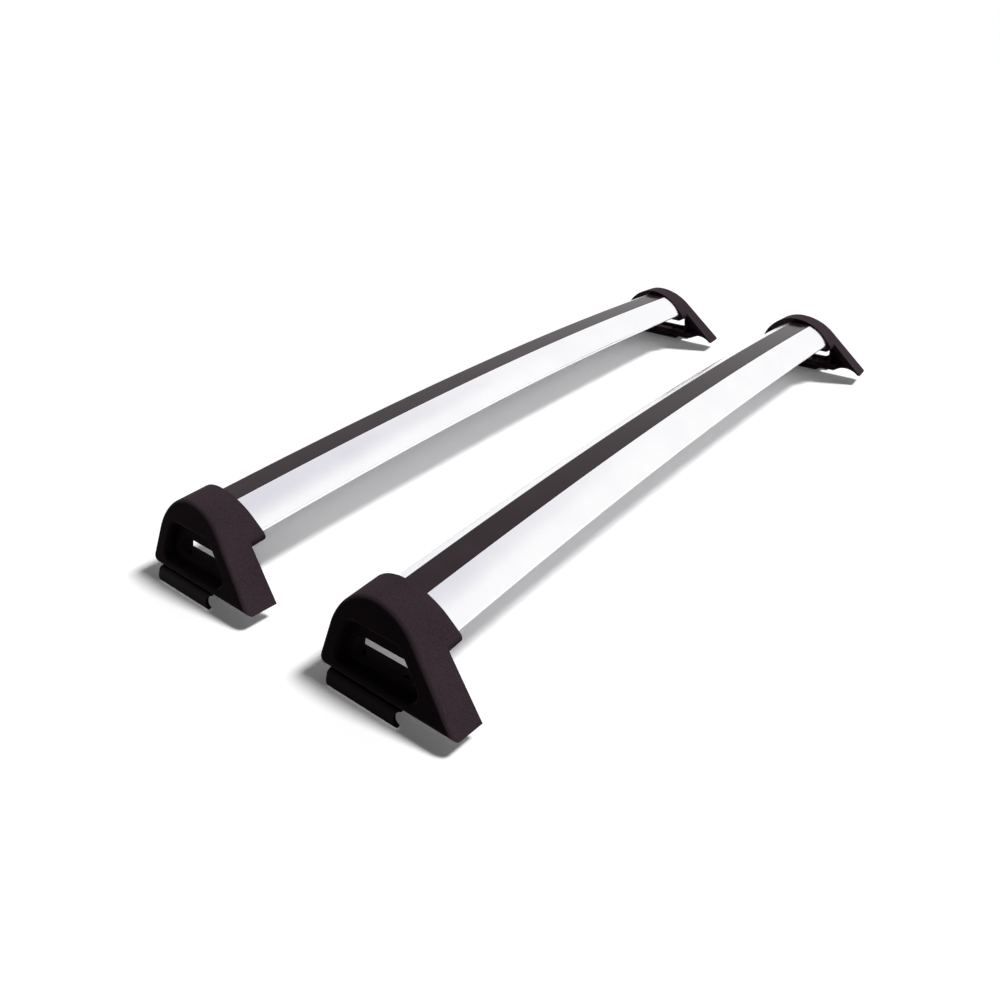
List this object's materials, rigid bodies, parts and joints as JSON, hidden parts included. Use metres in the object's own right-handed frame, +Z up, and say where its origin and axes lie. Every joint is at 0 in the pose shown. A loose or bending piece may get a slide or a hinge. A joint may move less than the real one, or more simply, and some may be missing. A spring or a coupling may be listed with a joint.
{
  "type": "pair of roof crossbars",
  "caption": "Arched wing-section aluminium crossbars with rubber top strips, each carried by hooded black feet with hook plates, for a car's roof rails.",
  "frame": {"origin": "middle of the pair on the floor that its hook plates stand on", "axes": "+X along the bars, +Y from the front bar to the rear bar, +Z up"},
  "size_m": [0.9894, 0.4, 0.0965],
  "materials": {
    "bar_aluminium": "satin anodised",
    "strip_rubber": "matte",
    "foot_plastic": "fine moulded grain",
    "hook_plate": "black coat, bare edges",
    "pad_rubber": "matte",
    "plug_plastic": "as moulded",
    "screw_steel": "zinc plated",
    "insert_brass": "turned"
  },
  "bodies": {
    "root": {"front_bar_extrusion": "bar_aluminium", "front_top_strip": "strip_rubber", "front_left_casing": "foot_plastic", "front_left_hook_plate": "hook_plate", "front_left_rail_pad": "pad_rubber", "front_left_plate_screws": "screw_steel", "front_left_plate_inserts": "insert_brass", "front_left_end_plug": "plug_plastic", "front_left_bar_screws": "screw_steel", "front_right_casing": "foot_plastic", "front_right_hook_plate": "hook_plate", "front_right_rail_pad": "pad_rubber", "front_right_plate_screws": "screw_steel", "front_right_plate_inserts": "insert_brass", "front_right_end_plug": "plug_plastic", "front_right_bar_screws": "screw_steel", "rear_bar_extrusion": "bar_aluminium", "rear_top_strip": "strip_rubber", "rear_left_casing": "foot_plastic", "rear_left_hook_plate": "hook_plate", "rear_left_rail_pad": "pad_rubber", "rear_left_plate_screws": "screw_steel", "rear_left_plate_inserts": "insert_brass", "rear_left_end_plug": "plug_plastic", "rear_left_bar_screws": "screw_steel", "rear_right_casing": "foot_plastic", "rear_right_hook_plate": "hook_plate", "rear_right_rail_pad": "pad_rubber", "rear_right_plate_screws": "screw_steel", "rear_right_plate_inserts": "insert_brass", "rear_right_end_plug": "plug_plastic", "rear_right_bar_screws": "screw_steel"}
  },
  "joints": []
}
